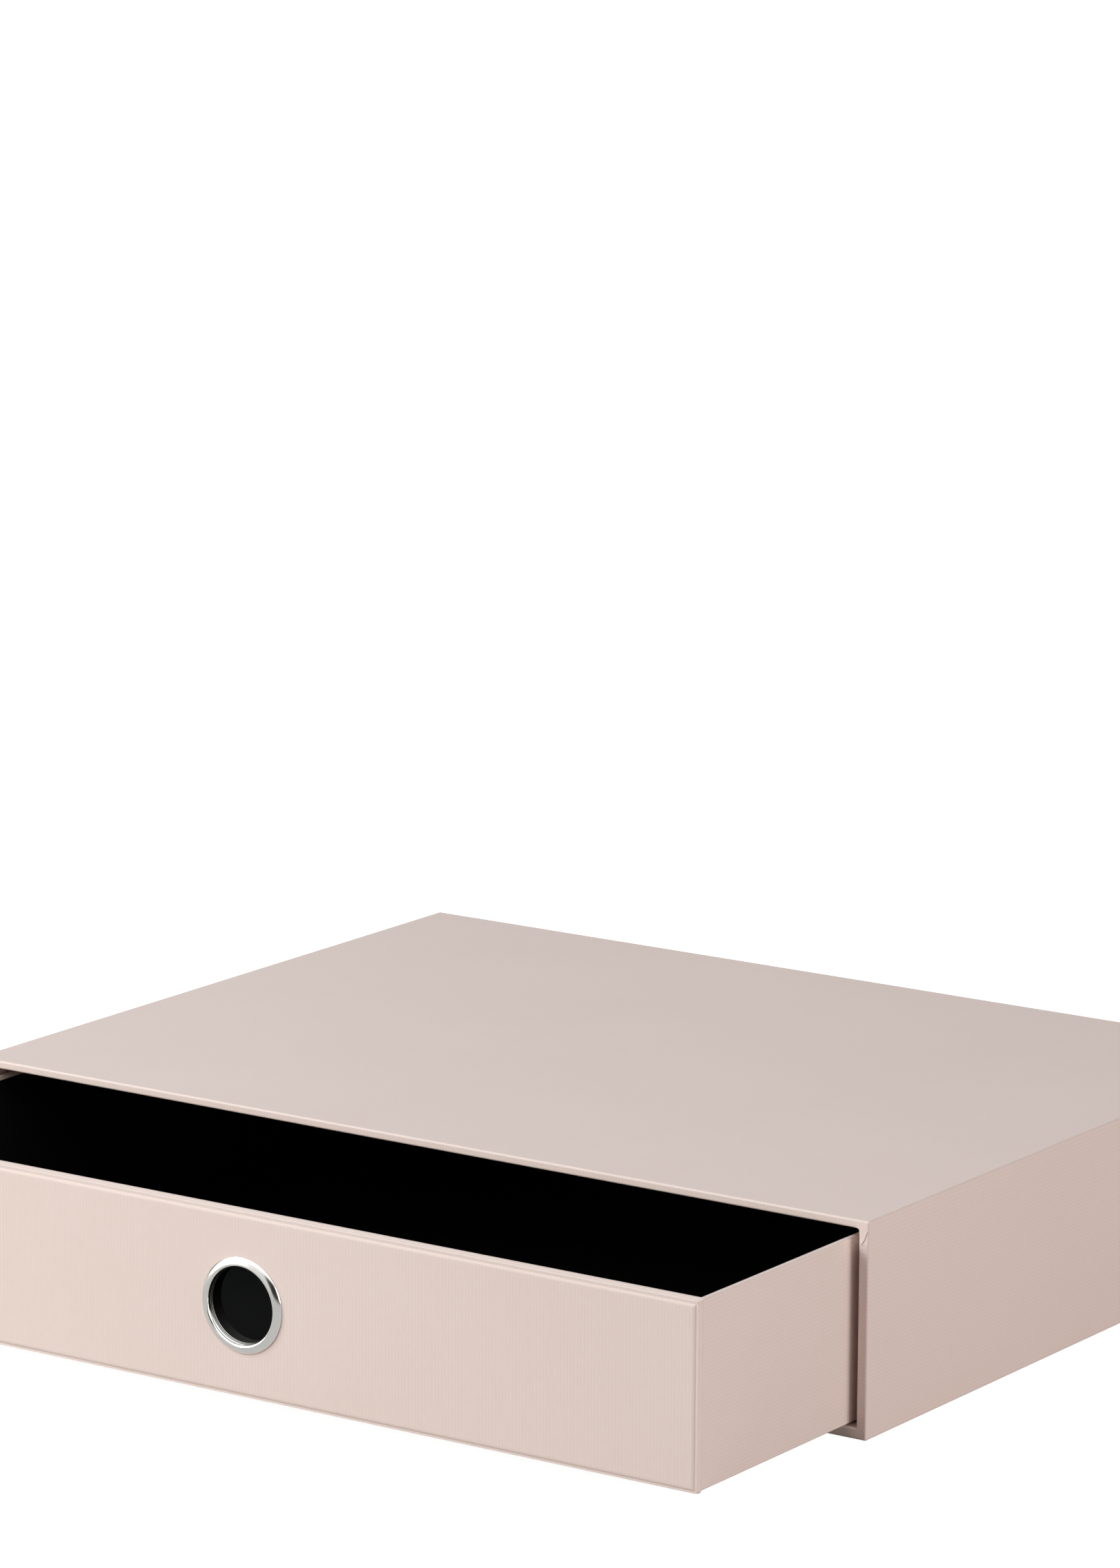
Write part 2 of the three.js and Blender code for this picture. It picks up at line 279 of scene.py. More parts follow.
def make_paper(name, from_map=True):
    """Ribbed paper. Only the sheets made here have a map; the others go by their own place."""
    material, nodes = new_material(name)
    across, place = rib_place(nodes, from_map)
    solid = nodes.put("ShaderNodeTexCoord", _out=3)
    drift = nodes.spread(nodes.noise(solid, DRIFT_SCALE), -RIB_DRIFT, RIB_DRIFT)
    phase = nodes.plus(nodes.times(across, 2 * math.pi / (RIB_PITCH * MM)), drift)
    rib = nodes.plus(nodes.times(nodes.math("SINE", phase), 0.5), 0.5)
    strength = nodes.spread(nodes.noise(solid, STRENGTH_SCALE), *RIB_STRENGTH)
    rib = nodes.times(rib, strength)
    if from_map:
        fold = nodes.put("ShaderNodeAttribute", _out=2, _set={"attribute_name": FOLD})
        rib = nodes.times(rib, nodes.spread(fold, 1.0, RIB_AT_FOLD))
    cloudy = nodes.noise(solid, CLOUD_SCALE, 3.0)
    mottled = nodes.noise(solid, MOTTLE_SCALE, 3.0, 0.6)
    fibre = nodes.noise(nodes.stretched(place, (1.0, 0.25, 1.0)), FIBRE_SCALE, 3.0, 0.65)
    tone = nodes.plus(nodes.times(cloudy, CLOUD_TONE), nodes.times(mottled, MOTTLE_TONE))
    lines = nodes.plus(nodes.times(rib, RIB_TONE), nodes.times(fibre, FIBRE_TONE))
    tone = nodes.plus(tone, lines)
    colour = nodes.tint(nodes.step(tone, *TONE_ENDS), PAPER_DARK, PAPER_LIGHT)
    if from_map:
        wear = nodes.spread(nodes.noise(solid, WEAR_SCALE, 3.0), *WEAR)
        colour = nodes.tint(nodes.times(fold, wear), colour, PAPER_WORN)
    ribs = nodes.put("ShaderNodeBump", Height=rib, Distance=RIB_DEPTH * MM)
    fibres = nodes.put("ShaderNodeBump", Height=fibre, Distance=FIBRE_DEPTH * MM, Normal=ribs)
    rough = nodes.spread(mottled, *PAPER_ROUGHNESS)
    finish_material(nodes, colour, rough, fibres, Specular_IOR_Level=PAPER_SPECULAR)
    return material


def make_lining():
    """Near-black uncoated paper."""
    material, nodes = new_material("black_paper")
    solid = nodes.put("ShaderNodeTexCoord", _out=3)
    grain = nodes.noise(solid, BLACK_GRAIN_SCALE, 3.0, 0.6)
    cloudy = nodes.noise(solid, BLACK_CLOUD_SCALE)
    colour = nodes.tint(nodes.times(grain, cloudy), *BLACK_PAPER)
    bump = nodes.put("ShaderNodeBump", Height=grain, Distance=BLACK_PAPER_DEPTH * MM)
    rough = nodes.spread(grain, *BLACK_PAPER_ROUGHNESS)
    finish_material(nodes, colour, rough, bump, Specular_IOR_Level=BLACK_PAPER_SPECULAR)
    return material


def make_greyboard():
    """Grey recycled board with flecks, which shows only inside cut edges."""
    material, nodes = new_material("greyboard")
    solid = nodes.put("ShaderNodeTexCoord", _out=3)
    pulp = nodes.noise(nodes.stretched(solid, (1.0, 1.0, 3.0)), PULP_SCALE, 4.0, 0.65)
    fleck = nodes.step(nodes.noise(solid, FLECK_SCALE, 1.0), *FLECK_ENDS)
    colour = nodes.tint(fleck, nodes.tint(pulp, *GREYBOARD), FLECK)
    bump = nodes.put("ShaderNodeBump", Height=pulp, Distance=GREYBOARD_DEPTH * MM)
    rough = nodes.spread(pulp, *GREYBOARD_ROUGHNESS)
    finish_material(nodes, colour, rough, bump, Specular_IOR_Level=GREYBOARD_SPECULAR)
    return material


def make_nickel():
    """Polished nickel with painted shade: near-black where the attribute marks that little light
    gets in.
    """
    material, nodes = new_material("nickel")
    solid = nodes.put("ShaderNodeTexCoord", _out=3)
    haze = nodes.noise(solid, HAZE_SCALE, 3.0)
    hairline = nodes.noise(nodes.stretched(solid, (1.0, 0.2, 1.0)), HAIRLINE_SCALE)
    colour = nodes.tint(haze, *NICKEL)
    # Painted shade: near-black where the ring is marked as getting little light
    dark = nodes.put("ShaderNodeAttribute", _out=2, _set={"attribute_name": PAINTED_SHADE})
    colour = nodes.tint(dark, colour, NICKEL_PAINTED_SHADE)
    bump = nodes.put("ShaderNodeBump", Height=hairline, Distance=HAIRLINE_DEPTH * MM)
    rough = nodes.spread(haze, *NICKEL_ROUGHNESS)
    rough = nodes.plus(rough, nodes.times(dark, PAINTED_SHADE_ROUGHNESS))
    finish_material(nodes, colour, rough, bump, Metallic=1.0)
    return material


# A sheet is swept: a rounded rectangle follows a section of insets and levels.


def stretch(length):
    """Places along a length, with one close to each end to hold the shading."""
    if length < 4 * GUARD:
        return [length * share for share in (1 / 3, 2 / 3)]
    parts = max(1, round(length / SPACING))
    run = length - 2 * GUARD
    return [GUARD + run * step / parts for step in range(parts + 1)]


def outline(half_a, half_b, radius, counts):
    """Points round a rounded rectangle, from the middle of its low side towards +a.

    Each point comes with the side that the stretch after it lies on.
    """
    points = []
    sides = []
    for turn in range(4):
        long, short = (half_a, half_b) if turn % 2 == 0 else (half_b, half_a)
        count = counts[turn % 2]
        start = 0.0 if turn == 0 else -(long - radius)
        places = spaced(start, long - radius, count // 2 if turn == 0 else count)
        side = [(place, -short) for place in places]
        side += corner_points(long - radius, -(short - radius), radius)
        points += [turned(point, turn) for point in side]
        # The corner's second half goes with the next side
        beyond = ARC_STEPS // 2 + 1
        sides += [turn] * (len(side) - beyond) + [(turn + 1) % 4] * beyond
    last = spaced(-(half_a - radius), 0.0, counts[0] // 2)
    points += [(place, -half_b) for place in last]
    return points, sides + [0] * len(last)


def spaced(low, high, parts):
    """Places after low and before high, in a fixed number, so that outlines match."""
    guard = min(GUARD, (high - low) / 8)
    run = high - low - 2 * guard
    return [low + guard + run * step / parts for step in range(parts + 1)]


def corner_points(centre_a, centre_b, radius):
    """A quarter circle from the low side to the side at +a."""
    angles = [math.pi / 2 * step / ARC_STEPS for step in range(ARC_STEPS + 1)]
    return [(centre_a + radius * math.sin(t), centre_b - radius * math.cos(t)) for t in angles]


def turned(point, quarters):
    """The point after so many quarter turns round the middle."""
    a, b = point
    for _ in range(quarters):
        a, b = -b, a
    return a, b


def rounded_section(corners, closed):
    """The section's points, each (inset, level, fold), from corners (inset, level, radius)."""
    count = len(corners)
    ends = []
    for index, (inset, level, radius) in enumerate(corners):
        here = Vector((inset, level))
        before = Vector(corners[index - 1][:2]) if closed or index else here
        after = Vector(corners[(index + 1) % count][:2]) if closed or index < count - 1 else here
        if radius and here != before and here != after:
            way_in = (here - before).normalized()
            way_out = (after - here).normalized()
            ends.append((here - way_in * radius, here + way_out * radius, way_in, way_out, radius))
        else:
            ends.append((here, here, None, None, 0))
    points = []
    for index, (start, end, way_in, way_out, radius) in enumerate(ends):
        if radius:
            middle = start + way_out * radius
            for step in range(ARC_STEPS + 1):
                turn = math.pi / 2 * step / ARC_STEPS
                spot = middle - way_out * radius * math.cos(turn) + way_in * radius * math.sin(turn)
                points.append((spot.x, spot.y, math.sin(2 * turn)))
        else:
            points.append((start.x, start.y, 0.0))
        if closed or index < count - 1:
            following = ends[(index + 1) % count][0]
            run = (following - end).length
            way = (following - end).normalized()
            points += [(*(end + way * place), 0.0) for place in stretch(run)]
    return points


def sweep(name, low, high, axes, corners, corner_radius, counts, closed=True, moved=None):
    """A sheet as a closed mesh. axes are the outline's two axes and the axis of the levels.

    moved may give a point another place, from the point and its inset.
    """
    a, b, along = axes
    section = rounded_section(corners, closed)
    half_a = (high[a] - low[a]) / 2
    half_b = (high[b] - low[b]) / 2
    middle = (low + high) / 2
    rows = []
    for inset, level, _ in section:
        radius = max(corner_radius(inset), LEAST_RADIUS)
        row = []
        points, sides = outline(half_a - inset, half_b - inset, radius, counts)
        for place_a, place_b in points:
            point = Vector((0, 0, 0))
            point[a] = middle[a] + place_a
            point[b] = middle[b] + place_b
            point[along] = level
            row.append(moved(point, inset) if moved else point)
        rows.append(row)
    across = [(a if side % 2 == 0 else b) for side in sides]
    path = path_lengths(section)
    return mesh_of_rows(name, rows, across, path, [fold for _, _, fold in section], closed)


def between(row, after, index, beside, count):
    """The face between two points of a row and the same points of the row after it."""
    here, there = row * count, after * count
    return here + index, here + beside, there + beside, there + index


def path_lengths(section):
    """The way along the section up to each of its points, and once round."""
    path = [0.0]
    for index in range(1, len(section) + 1):
        step = Vector(section[index % len(section)][:2]) - Vector(section[index - 1][:2])
        path.append(path[-1] + step.length)
    return path


def uneven(point):
    """The point moved a little, as glued paper is nowhere quite flat."""
    return point + noise.noise_vector(point / UNEVEN_LENGTH) * UNEVENNESS


def mesh_of_rows(name, rows, across, path, folds, closed):
    """The swept sheet's mesh, with its map and with the folds marked."""
    columns = len(rows[0])
    verts = [uneven(point) * MM for row in rows for point in row]
    faces = []
    places = []
    for r in range(len(rows) if closed else len(rows) - 1):
        after = (r + 1) % len(rows)
        for c in range(columns):
            beside = (c + 1) % columns
            faces.append(between(r, after, c, beside, columns))
            start, end = path[r] * MM, path[r + 1] * MM
            corners = ((r, c, start), (r, beside, start), (after, beside, end), (after, c, end))
            places += [(rows[i][j][across[c]] * MM, level) for i, j, level in corners]
    if not closed:
        for r, turn in ((0, -1), (len(rows) - 1, 1)):
            cap = [r * columns + c for c in range(columns)][::turn]
            faces.append(cap)
            places += [(rows[r][index % columns][X] * MM, path[r] * MM) for index in cap]
    mesh = bpy.data.meshes.new(name)
    mesh.from_pydata(verts, [], faces)
    layer = mesh.uv_layers.new(name=SHEET_MAP)
    layer.uv.foreach_set("vector", [value for place in places for value in place])
    fold = mesh.attributes.new(FOLD, "FLOAT", "POINT")
    fold.data.foreach_set("value", [value for value in folds for _ in range(columns)])
    face_outwards(mesh)
    return add_object(name, mesh)


def face_outwards(mesh):
    work = bmesh.new()
    work.from_mesh(mesh)
    bmesh.ops.recalc_face_normals(work, faces=work.faces)
    work.to_mesh(mesh)
    work.free()


def shade(mesh):
    """Smooth shading that stops at folded and cut edges."""
    mesh.shade_smooth()
    mesh.set_sharp_from_angle(angle=math.radians(SHARP_DEG))


def dress(thing, body, slot_name, material, *nodes):
    """Finishes a piece: its shading, its material, its body and the CAD nodes it replaces."""
    shade(thing.data)
    thing.data.materials.clear()
    thing.data.materials.append(material)
    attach(thing, body)
    if nodes:
        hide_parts(*nodes)


def cut_ring_hole(thing, ring_centre, front):
    """Cuts the finger ring's hole at the level front of Y and keeps the result in the mesh."""
    mesh = bpy.data.meshes.new("hole_cutter")
    work = bmesh.new()
    radius = HOLE_RADIUS * MM
    depth = 2 * HOLE_REACH * MM
    bmesh.ops.create_cone(
        work, cap_ends=True, segments=HOLE_SEGMENTS, radius1=radius, radius2=radius, depth=depth
    )
    work.to_mesh(mesh)
    work.free()
    cutter = add_object("hole_cutter", mesh)
    cutter.rotation_euler = (math.pi / 2, 0, 0)
    cutter.location = Vector((ring_centre.x, front, ring_centre.z)) * MM
    cut = thing.modifiers.new("hole", "BOOLEAN")
    cut.operation = "DIFFERENCE"
    cut.solver = "EXACT"
    cut.object = cutter
    bpy.context.view_layer.update()
    graph = bpy.context.evaluated_depsgraph_get()
    result = bpy.data.meshes.new_from_object(thing.evaluated_get(graph))
    thing.modifiers.clear()
    thing.data = result
    bpy.data.objects.remove(cutter)


def thinning(y, mouth):
    """How much thinner the top is, from the mouth to the end of the turned-in paper."""
    share = min(max((y - mouth) / TURN_IN, 0.0), 1.0)
    return TOP_THINNING * (1.0 - share) ** THINNING_POWER


def make_sleeve(paper):
    """The sleeve's outer sheet, turned in round the mouth and over the edges of the back."""
    low, high = box_mm("sleeve_wrap")
    low[Y] = box_mm("sleeve_top_board")[0][Y] - PAPER
    wall = box_mm("sleeve_left_board")[1][X] - low[X] + PAPER
    mouth, back = low[Y], high[Y]
    ceiling = high[Z] - wall
    turn_end = mouth + TURN_IN
    corners = [
        (BACK_TURN_OVER, back, 0),
        (0, back, SLEEVE_EDGE),
        (0, mouth, SLEEVE_EDGE),
        (wall, mouth, SLEEVE_INNER_EDGE),
        (wall, turn_end, 0),
        (wall - PAPER, turn_end, 0),
        (wall - PAPER, mouth + PAPER, 0),
        (PAPER, mouth + PAPER, 0),
        (PAPER, back - PAPER, 0),
        (BACK_TURN_OVER, back - PAPER, 0),
    ]

    def radius(inset):
        return SLEEVE_EDGE - inset if inset < SLEEVE_EDGE else INNER_CORNER * inset / wall

    def moved(point, inset):
        if inset > SLEEVE_EDGE and point[Y] < turn_end and point[Z] > THINNED_FROM:
            share = min((point[Z] - THINNED_FROM) / (ceiling - THINNED_FROM), 1.0)
            depth = min((inset - SLEEVE_EDGE) / (wall - 2 * SLEEVE_EDGE), 1.0)
            point[Z] += thinning(point[Y], mouth) * share * depth
        return point

    sleeve = sweep(
        "sleeve_paper", low, high, (X, Z, Y), corners, radius, SLEEVE_COUNTS, moved=moved
    )
    dress(sleeve, "sleeve", "ribbed_paper", paper, "sleeve_wrap")


def make_top_board(greyboard):
    """The top board, thinned from below at the mouth where the paper turns in."""
    low, high = box_mm("sleeve_top_board")
    steps = TOP_BOARD_STEPS
    spots = [low[Y] + TURN_IN * step / steps for step in range(steps + 1)]
    section = [(y, low[Z] + thinning(y, low[Y] - PAPER)) for y in spots]
    section += [(high[Y], low[Z]), (high[Y], high[Z]), (low[Y], high[Z])]
    rows = [[Vector((x, y, z)) for y, z in section] for x in (low[X], 0.0, high[X])]
    board = solid_of_rows("sleeve_top_board_skived", rows)
    dress(board, "sleeve", "greyboard", greyboard, "sleeve_top_board")


def solid_of_rows(name, rows):
    """A closed solid with flat ends from like rings of points."""
    count = len(rows[0])
    verts = [point * MM for row in rows for point in row]
    faces = [list(range(count)), [(len(rows) - 1) * count + index for index in range(count)]]
    for r in range(len(rows) - 1):
        for c in range(count):
            faces.append(between(r, r + 1, c, (c + 1) % count, count))
    mesh = bpy.data.meshes.new(name)
    mesh.from_pydata(verts, [], faces)
    face_outwards(mesh)
    return add_object(name, mesh)


# The folded corner tab at the mouth's top: its inner and outer edge as (way below the top, way
# inwards from the side), its thickness, the part of that which its inner edge and its top have,
# the length over which it rises to the full, and how deep it goes into the paper below
TAB_INNER_EDGE = ((0.75, 4.9), (1.7, 4.9), (2.3, 4.3), (2.6, 3.3), (4.6, 3.15), (7.1, 2.75))
TAB_OUTER_EDGE = ((0.75, -0.3), (1.5, -0.2), (2.6, 0.2), (3.8, 0.9), (5.6, 1.5), (7.1, 2.5))
TAB_THICKNESS = 0.17
TAB_INNER_SHARE = 0.55
TAB_TOP_SHARE = 0.1
TAB_RISE = 1.5
TAB_DEPTH = 0.06
TAB_ROWS = 26
TAB_COLUMNS = 9


def along_line(line, place):
    """The value at a place on a line of (place, value) points."""
    for (start, first), (end, last) in zip(line, line[1:]):
        if place <= end:
            return first + (last - first) * (place - start) / (end - start)
    return line[-1][1]


def round_the_edge(inwards):
    """A way inwards over the rounded edge as the way straight in and the way back."""
    if inwards >= SLEEVE_EDGE:
        return inwards, 0.0
    angle = min((SLEEVE_EDGE - inwards) / SLEEVE_EDGE, math.pi / 2)
    beyond = max((SLEEVE_EDGE - inwards) - SLEEVE_EDGE * angle, 0.0)
    return SLEEVE_EDGE * (1 - math.sin(angle)), SLEEVE_EDGE * (1 - math.cos(angle)) + beyond


def make_tab(name, side, paper):
    """The folded corner of paper that laps over the mouth's upper corner and round its edge."""
    low, high = box_mm("sleeve_wrap")
    mouth = box_mm("sleeve_top_board")[0][Y] - PAPER
    start, end = TAB_INNER_EDGE[0][0], TAB_INNER_EDGE[-1][0]

    def spot(row, column):
        below = start + (end - start) * row / TAB_ROWS
        inner = along_line(TAB_INNER_EDGE, below)
        outer = along_line(TAB_OUTER_EDGE, below)
        inwards = inner + (outer - inner) * column / TAB_COLUMNS
        out, sunk = round_the_edge(inwards)
        sunk = max(sunk, round_the_edge(below)[1])
        return Vector((side * (high[X] - out), mouth + sunk, high[Z] - below))

    def outwards(point):
        return Vector((side * max(point[Y] - mouth, 0.0), -SLEEVE_EDGE, 0)).normalized()

    rows = []
    for row in range(TAB_ROWS + 1):
        risen = min((end - start) * row / TAB_ROWS / TAB_RISE, 1.0)
        thickness = TAB_THICKNESS * (TAB_TOP_SHARE + (1 - TAB_TOP_SHARE) * risen)
        face = []
        under = []
        for column in range(TAB_COLUMNS + 1):
            share = TAB_INNER_SHARE + (1 - TAB_INNER_SHARE) * column / TAB_COLUMNS
            point = spot(row, column)
            face.append(point + outwards(point) * (thickness * share))
            under.append(point - outwards(point) * TAB_DEPTH)
        rows.append(face + under[::-1])
    tab = solid_of_rows(name, rows)
    map_flat(tab.data)
    dress(tab, "sleeve", "ribbed_paper", paper)


def map_flat(mesh):
    """A sheet map for a small flat piece with upright ribs."""
    layer = mesh.uv_layers.new(name=SHEET_MAP)
    for loop in mesh.loops:
        point = mesh.vertices[loop.vertex_index].co
        layer.uv[loop.index].vector = (point.x, point.z)
    mesh.attributes.new(FOLD, "FLOAT", "POINT")


def make_tray(paper, ring_centre):
    """The drawer's outer sheet, turned in over the rim and under the floor."""
    low, high = box_mm("drawer_wrap")
    low[Y] += SEAM_GAP
    rim = box_mm("drawer_left_board")[1][X] - low[X] + PAPER
    rim_end = box_mm("drawer_wall_lining")[1][Z]
    base, top = low[Z], high[Z]
    corners = [
        (TRAY_TURN_UNDER, base, 0),
        (0, base, TRAY_EDGE),
        (0, top, TRAY_EDGE),
        (rim, top, RIM_INNER_EDGE),
        (rim, rim_end, 0),
        (rim - PAPER, rim_end, 0),
        (rim - PAPER, top - PAPER, 0),
        (PAPER, top - PAPER, 0),
        (PAPER, base + PAPER, 0),
        (TRAY_TURN_UNDER, base + PAPER, 0),
    ]

    def radius(inset):
        return TRAY_EDGE - inset if inset < TRAY_EDGE else INNER_CORNER

    tray = sweep("tray_paper", low, high, (X, Y, Z), corners, radius, TRAY_COUNTS)
    turn_map(tray.data)
    cut_ring_hole(tray, ring_centre, low[Y])
    dress(tray, "drawer", "ribbed_paper", paper, "drawer_wrap")


def turn_map(mesh):
    """Swaps the sheet's two directions, so that the ribs run round the tray."""
    for spot in mesh.uv_layers[SHEET_MAP].uv:
        spot.vector = spot.vector.yx


def make_panel(paper, ring_centre):
    """The front panel's sheet, turned over its back."""
    low, high = box_mm("panel_wrap")
    front, back = low[Y], high[Y] - SEAM_GAP
    corners = [
        (PANEL_CAP_INSET, front + PAPER, 0),
        (PAPER, front + PAPER, 0),
        (PAPER, back - PAPER, 0),
        (PANEL_TURN_IN, back - PAPER, 0),
        (PANEL_TURN_IN, back, 0),
        (0, back, PANEL_BACK_EDGE),
        (0, front, PANEL_EDGE),
        (PANEL_CAP_INSET, front, 0),
    ]

    def radius(inset):
        return PANEL_CORNER - inset / 2

    panel = sweep("panel_paper", low, high, (X, Z, Y), corners, radius, PANEL_COUNTS, closed=False)
    cut_ring_hole(panel, ring_centre, front)
    map_panel(panel.data, low, high)
    dress(panel, "drawer", "ribbed_paper", paper, "panel_wrap")


def map_panel(mesh, low, high):
    """Lays the ribs upright on the panel, also round its side edges."""
    layer = mesh.uv_layers[SHEET_MAP]
    for loop in mesh.loops:
        point = mesh.vertices[loop.vertex_index].co / MM
        side = min(point.x - low.x, high.x - point.x)
        round_edge = point.y - low.y if side < PANEL_EDGE else 0.0
        across = point.x + math.copysign(round_edge, point.x)
        layer.uv[loop.index].vector = (across * MM, (point.z + point.y) * MM)


def turn_profile(name, profile, centre, shade_marks):
    """A mesh of revolution round the Y axis through centre. The profile is (radius, rise).

    The last argument holds each profile point's painted shade, from 0 for plain metal to 1 for
    near-black.
    """
    verts = []
    for step in range(RING_STEPS):
        angle = 2 * math.pi * step / RING_STEPS
        for radius, rise in profile:
            spot = Vector((radius * math.cos(angle), -rise, radius * math.sin(angle)))
            verts.append((centre + spot) * MM)
    count = len(profile)
    faces = []
    for step in range(RING_STEPS):
        after = (step + 1) % RING_STEPS
        for index in range(count):
            faces.append(between(step, after, index, (index + 1) % count, count))
    mesh = bpy.data.meshes.new(name)
    mesh.from_pydata(verts, [], faces)
    dark = mesh.attributes.new(PAINTED_SHADE, "FLOAT", "POINT")
    dark.data.foreach_set("value", shade_marks * RING_STEPS)
    face_outwards(mesh)
    return add_object(name, mesh)


def arch(middle, half_width, foot, rise):
    """Points over a foot from its outer to its inner end."""
    angles = [math.pi * step / ROLL_STEPS for step in range(ROLL_STEPS + 1)]
    return [(middle + math.cos(t) * half_width, foot + math.sin(t) * rise) for t in angles]


# The finger ring's section: a domed flange, a beaded lip, a straight barrel and a rolled rear
# end. Steps in a pair are those of the metal's shown face and of the face behind it.
RING_BORE_RADIUS = 11.65
RING_METAL = 0.5
RING_FOOT = 0.05
RING_DOME = 1.25
RING_CREST = 0.72
RING_SLOPE = 1.38
RING_LIP = 1.5
LIP_BEADS = 2
BEAD_RISE = 0.09
ROLL_WIDTH = 1.05
ROLL_RISE = 0.85
ROLL_INNER_RISE = 0.45
RING_STEPS = 160
DOME_STEPS = (32, 24)
LIP_STEPS = 24
BARREL_STEPS = (8, 4)
ROLL_STEPS = 16


def dome(outer, inner, rise, steps):
    """A dome over a flange, with its crest at RING_CREST of the way from the outer edge."""
    crest = outer + (inner - outer) * RING_CREST
    points = []
    for step in range(steps + 1):
        angle = math.pi * step / steps
        outside = angle < math.pi / 2
        reach = (outer if outside else inner) - crest
        power = RING_SLOPE if outside else 1.0
        out, up = abs(math.cos(angle)) ** power, math.sin(angle) ** power
        points.append((crest + out * reach, RING_FOOT + up * rise))
    return points


def barrel(radius, start, end, steps):
    """Close points on a straight wall, so that its shading stays straight too."""
    return [(radius, start + (end - start) * step / steps) for step in range(steps + 1)]


def beaded(radius, start, end, steps):
    """The lip behind the dome: a wall with fine turned beads."""
    points = []
    for step in range(steps + 1):
        share = step / steps
        rise = BEAD_RISE * math.sin(math.pi * LIP_BEADS * share) ** 2
        points.append((radius - rise, start + (end - start) * share))
    return points


def make_ring(nickel):
    """The finger ring. Its barrel, its rolled end's inner half and its lip's grooves get painted
    shade.
    """
    low, high = box_mm("finger_ring")
    panel_face = box_mm("panel_wrap")[0][Y]
    outer = (high[X] - low[X]) / 2
    bore = RING_BORE_RADIUS
    metal = RING_METAL
    centre = Vector(((low[X] + high[X]) / 2, panel_face, (low[Z] + high[Z]) / 2))
    back = panel_face - box_mm("ring_washer")[1][Y]
    roll = bore + ROLL_WIDTH
    roll_foot = back - RING_FOOT
    bright_roll = ROLL_STEPS // 2
    profile = dome(outer, bore, RING_DOME, DOME_STEPS[0])
    shade_marks = [0.0] * len(profile)
    lip = beaded(bore, RING_FOOT - GUARD, RING_FOOT - RING_LIP, LIP_STEPS)
    profile += lip
    # Painted shade in the grooves between the lip's beads; the bead crests keep the plain metal
    shade_marks += [1.0 - (bore - radius) / BEAD_RISE for radius, _ in lip]
    profile += barrel(bore, RING_FOOT - RING_LIP - GUARD, back + GUARD, BARREL_STEPS[0])
    profile += arch(roll, ROLL_WIDTH, roll_foot, -ROLL_RISE)[::-1]
    # Painted shade over the barrel and the rolled end's inner half
    shade_marks += [1.0] * (len(profile) - len(shade_marks) - bright_roll)
    profile += arch(roll, ROLL_WIDTH - metal, roll_foot, -ROLL_INNER_RISE)
    profile += barrel(bore + metal, back + GUARD, RING_FOOT - GUARD, BARREL_STEPS[1])
    profile += dome(outer - metal, bore + metal, RING_DOME - metal, DOME_STEPS[1])[::-1]
    shade_marks += [0.0] * (len(profile) - len(shade_marks))
    ring = turn_profile("finger_ring_metal", profile, centre, shade_marks)
    dress(ring, "drawer", "nickel", nickel, "finger_ring")


# The white stage. What the camera sees, what mirrors in metal and what lights the paper each
# have their own level. The floor lies a little below the box, so that the two don't touch.
FLOOR_REACH_M = 6.0
FLOOR_DROP = 0.02
FLOOR_GREY = (0.35, 0.35, 0.35, 1)
FLOOR_SEEN = 0.95
FLOOR_MIRRORED = 0.75
WHITE = (1, 1, 1, 1)
AMBIENT = (0.97, 1.0, 1.045, 1)
WORLD_LEVEL = 0.149
GLOSS_LEVEL = 0.8
CEILING_GLOSS = 1.6
CEILING_ENDS = (0.35, 0.75)

# The dark room at the front right and the dark flag at the left: the way to each, where its edge
# fades, by the cosine of the angle to that way or by the height, and what light is left there
ROOM_AIM = (0.72, -0.66, 0.12)
ROOM_SIDE = (0.66, 0.76)
ROOM_TOP = (0.50, 0.60)
FLAG_AIM = (-0.96, 0.12, 0.12)
FLAG_SIDE = (0.93, 0.97)
ROOM_LIGHT = 0.1
DARK_GLOSS = 0.03


def make_floor():
    mesh = bpy.data.meshes.new("floor")
    work = bmesh.new()
    bmesh.ops.create_grid(work, x_segments=1, y_segments=1, size=FLOOR_REACH_M)
    work.to_mesh(mesh)
    work.free()
    floor = add_object("floor", mesh)
    floor.location.z = -FLOOR_DROP * MM
    material, nodes = new_material("floor_white")
    seen = nodes.put("ShaderNodeLightPath", _out=0)
    shine = nodes.put("ShaderNodeLightPath", _out=3)
    lit = nodes.put("ShaderNodeBsdfDiffuse", Color=FLOOR_GREY)
    bright = nodes.put("ShaderNodeEmission", Color=WHITE, Strength=FLOOR_SEEN)
    shown = nodes.put("ShaderNodeAddShader", i0=bright, i1=lit)
    gloss = FLOOR_MIRRORED * GLOSS_LEVEL
    mirrored = nodes.put("ShaderNodeEmission", Color=WHITE, Strength=gloss)
    behind = nodes.put("ShaderNodeMixShader", i0=shine, i1=lit, i2=mirrored)
    surface = nodes.put("ShaderNodeMixShader", i0=seen, i1=behind, i2=shown)
    nodes.put("ShaderNodeOutputMaterial", Surface=surface)
    mesh.materials.append(material)


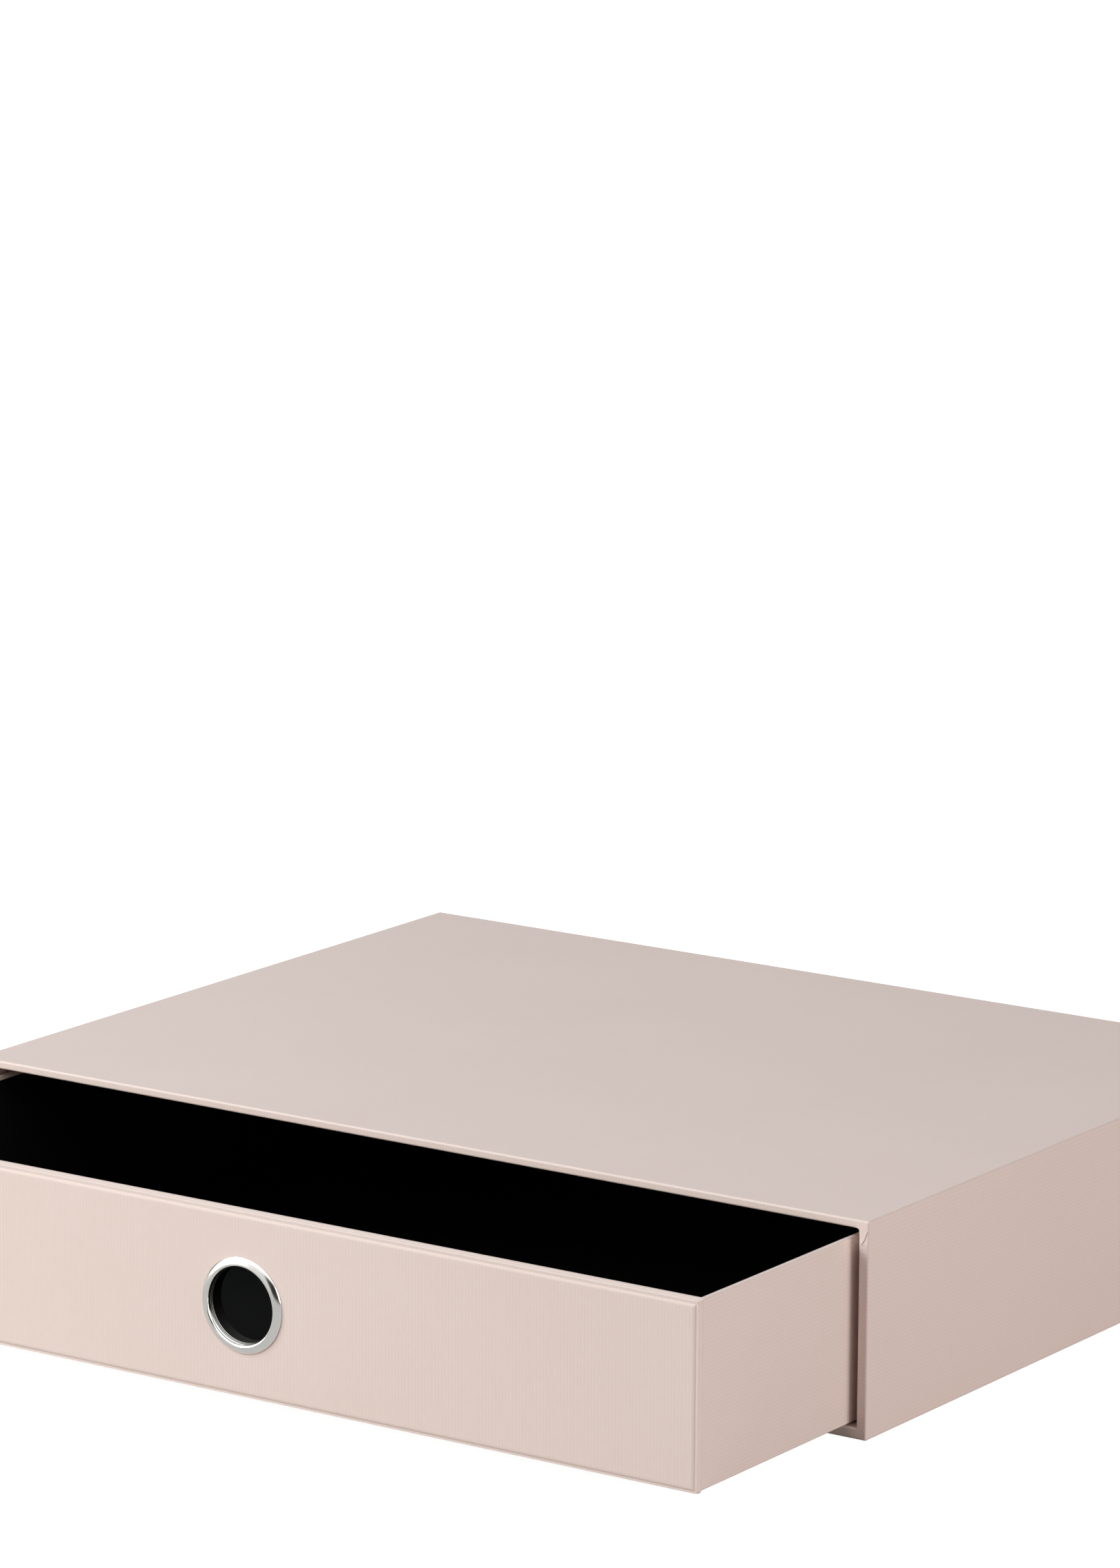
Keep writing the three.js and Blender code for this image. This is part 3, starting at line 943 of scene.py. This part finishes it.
# Softboxes: place, aim, width and height in metres, power in watts and colour
LAMPS = {
    "left": ((-1.6, -1.4, 0.55), (0, -0.1, 0.03), (1.4, 1.0), 26.6, (1.08, 1.0, 0.887)),
    "left_high": ((-1.4, -1.2, 1.4), (0, -0.1, 0.03), (1.0, 0.8), 40.1, (0.875, 1.0, 1.067)),
    "right": ((2.0, -0.2, 0.6), (0, 0, 0.03), (1.0, 1.0), 15.4, (0.987, 1.0, 0.981)),
    "right_front": ((1.9, -0.6, 0.7), (0, 0, 0.03), (1.8, 1.0), 10.7, (1.104, 1.0, 0.946)),
}


def make_lamp(name, place, aim, size, energy, colour):
    data = bpy.data.lights.new(name, "AREA")
    data.shape = "RECTANGLE"
    data.size, data.size_y = size
    data.energy = energy
    data.color = colour
    lamp = add_object(name, data)
    lamp.location = place
    lamp.rotation_euler = (Vector(aim) - Vector(place)).to_track_quat("-Z", "Y").to_euler()


def make_world():
    """White to the camera, with a dark corner and flag for the paper's light and the metal."""
    world = bpy.data.worlds.new("studio")
    bpy.context.scene.world = world
    world.use_nodes = True
    nodes = Nodes(world.node_tree)
    seen = nodes.put("ShaderNodeLightPath", _out=0)
    shine = nodes.put("ShaderNodeLightPath", _out=3)
    way = nodes.put("ShaderNodeTexCoord", _out=0)
    level = nodes.parts(way)[Z]
    ceiling = nodes.step(level, *CEILING_ENDS)
    lift = nodes.spread(ceiling, GLOSS_LEVEL, CEILING_GLOSS * GLOSS_LEVEL)
    room = nodes.step(nodes.toward(way, ROOM_AIM), *ROOM_SIDE)
    low = nodes.math("SUBTRACT", 1.0, nodes.step(level, *ROOM_TOP))
    flag = nodes.step(nodes.toward(way, FLAG_AIM), *FLAG_SIDE)
    corner = nodes.times(room, low)
    soft = nodes.times(nodes.spread(corner, 1.0, ROOM_LIGHT), WORLD_LEVEL)
    ambient = nodes.put("ShaderNodeBackground", Color=AMBIENT, Strength=soft)
    dark = nodes.math("MAXIMUM", corner, flag)
    glow = nodes.times(lift, nodes.spread(dark, 1.0, DARK_GLOSS))
    mirrored = nodes.put("ShaderNodeBackground", Color=WHITE, Strength=glow)
    white = nodes.put("ShaderNodeBackground", Color=WHITE, Strength=1.0)
    lighting = nodes.put("ShaderNodeMixShader", i0=shine, i1=ambient, i2=mirrored)
    both = nodes.put("ShaderNodeMixShader", i0=seen, i1=lighting, i2=white)
    nodes.put("ShaderNodeOutputWorld", Surface=both)


noise.seed_set(UNEVEN_SEED)
make_camera()
make_floor()
make_world()
for name, facts in LAMPS.items():
    make_lamp(name, *facts)

sheet_paper = make_paper("ribbed_paper")
plain_paper = make_paper("ribbed_paper_flat", from_map=False)
lining = make_lining()
greyboard = make_greyboard()
nickel = make_nickel()

ring_low, ring_high = box_mm("finger_ring")
ring_centre = (ring_low + ring_high) / 2

make_sleeve(sheet_paper)
make_top_board(greyboard)
make_tab("mouth_tab_left", -1, sheet_paper)
make_tab("mouth_tab_right", 1, sheet_paper)
make_tray(sheet_paper, ring_centre)
make_panel(sheet_paper, ring_centre)
make_ring(nickel)

# The CAD nodes keep their form and get a material: the boards greyboard, and these their own
own_materials = {
    "sleeve_lining": plain_paper,
    "sleeve_back_lining": plain_paper,
    "sleeve_back_sheet": plain_paper,
    "sleeve_base_sheet": plain_paper,
    "drawer_base_sheet": plain_paper,
    "drawer_wall_lining": lining,
    "drawer_floor_lining": lining,
    "ring_washer": nickel,
}
for name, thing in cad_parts.items():
    thing.data.materials.clear()
    thing.data.materials.append(own_materials.get(name, greyboard))
